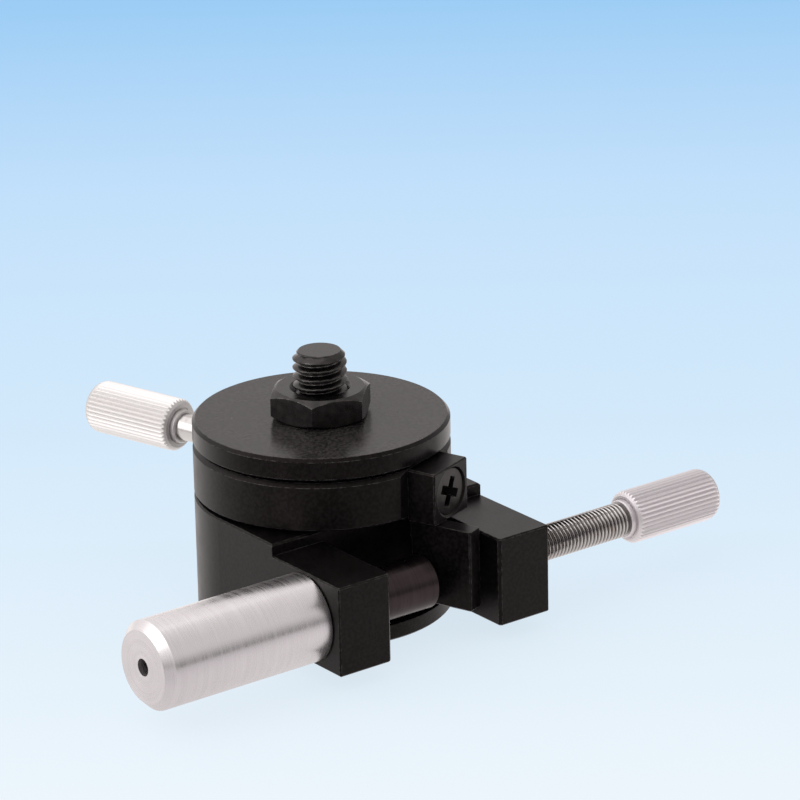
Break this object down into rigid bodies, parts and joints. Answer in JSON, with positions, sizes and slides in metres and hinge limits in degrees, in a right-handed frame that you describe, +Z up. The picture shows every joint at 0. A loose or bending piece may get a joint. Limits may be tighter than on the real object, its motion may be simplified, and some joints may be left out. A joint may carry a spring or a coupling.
{
  "type": "fine-adjust rotation mount",
  "caption": "Small round rotation mount: a threaded stud on a rotary table, clamped in a ring that a fine screw swings against a spring plunger on a two-armed base.",
  "frame": {"origin": "centre of the foot's underside, at the mouth of its threaded hole", "axes": "+Z up along the rotation axis; +X from the spring barrel towards the fine screw; -Y the side that the two arms reach out on"},
  "size_m": [0.0762, 0.0528, 0.0291],
  "materials": {
    "anodised": "satin black anodised",
    "black_steel": "black oxide",
    "bright_aluminium": "fine turned",
    "steel": "machined",
    "ball_steel": "polished",
    "spring_steel": "spring temper",
    "polymer": "natural acetal",
    "brass": "turned"
  },
  "bodies": {
    "base": {"base_body": "anodised", "foot_plate": "anodised", "foot_screws": "black_steel", "thrust_washer": "polymer", "spring_barrel": "bright_aluminium", "return_spring": "spring_steel"},
    "ring": {"clamp_ring": "anodised", "lever": "anodised", "lever_screw": "black_steel", "table_washer": "polymer"},
    "table": {"rotary_table": "anodised", "stud": "black_steel", "retaining_ring": "spring_steel", "disc_spring": "spring_steel", "journal_washer": "steel"},
    "nut": {"jam_nut": "black_steel"},
    "plunger": {"plunger": "black_steel"},
    "fine_tip": {"fine_ball": "ball_steel"},
    "fine_drive": {"fine_screw": "steel", "fine_knob": "bright_aluminium"},
    "lock_tip": {"lock_pad": "brass"},
    "lock_drive": {"lock_screw": "steel", "lock_knob": "bright_aluminium"}
  },
  "joints": [
    {"name": "ring_swing", "type": "hinge", "parent": "base", "child": "ring", "pos_m": [0, 0, 0.0162], "axis": [0, 0, 1], "range_deg": [-29.2, 0.9]},
    {"name": "table_turn", "type": "hinge", "parent": "ring", "child": "table", "pos_m": [0, 0, 0.0162], "axis": [0, 0, 1], "continuous": true},
    {"name": "nut_turn", "type": "hinge", "parent": "table", "child": "nut", "pos_m": [0, 0, 0.0233], "axis": [0, 0, 1], "continuous": true},
    {"name": "plunger_slide", "type": "slide", "parent": "base", "child": "plunger", "axis": [-1, 0, 0], "range_m": [-0.00024, 0.0079], "deforming": ["return_spring"]},
    {"name": "fine_feed", "type": "slide", "parent": "base", "child": "fine_tip", "axis": [-1, 0, 0], "range_m": [-0.00025, 0.00825]},
    {"name": "fine_spin", "type": "hinge", "parent": "fine_tip", "child": "fine_drive", "pos_m": [0, -0.0158, 0.0068], "axis": [-1, 0, 0], "range_deg": [-180.5, 5940.5]},
    {"name": "lock_feed", "type": "slide", "parent": "ring", "child": "lock_tip", "axis": [0.2773, -0.9608, 0], "range_m": [-0.002, 0.0002]},
    {"name": "lock_spin", "type": "hinge", "parent": "lock_tip", "child": "lock_drive", "pos_m": [-0.00555, 0.01922, 0.0162], "axis": [0.2773, -0.9608, 0], "range_deg": [-1440.5, 144.5]}
  ],
  "couplings": [
    {"joint": "fine_spin", "follows": "fine_feed", "rad_per_m": 12566},
    {"joint": "ring_swing", "follows": "fine_feed", "rad_per_m": -61.728},
    {"joint": "plunger_slide", "follows": "fine_feed", "ratio": 0.95679},
    {"joint": "lock_spin", "follows": "lock_feed", "rad_per_m": 12566}
  ]
}
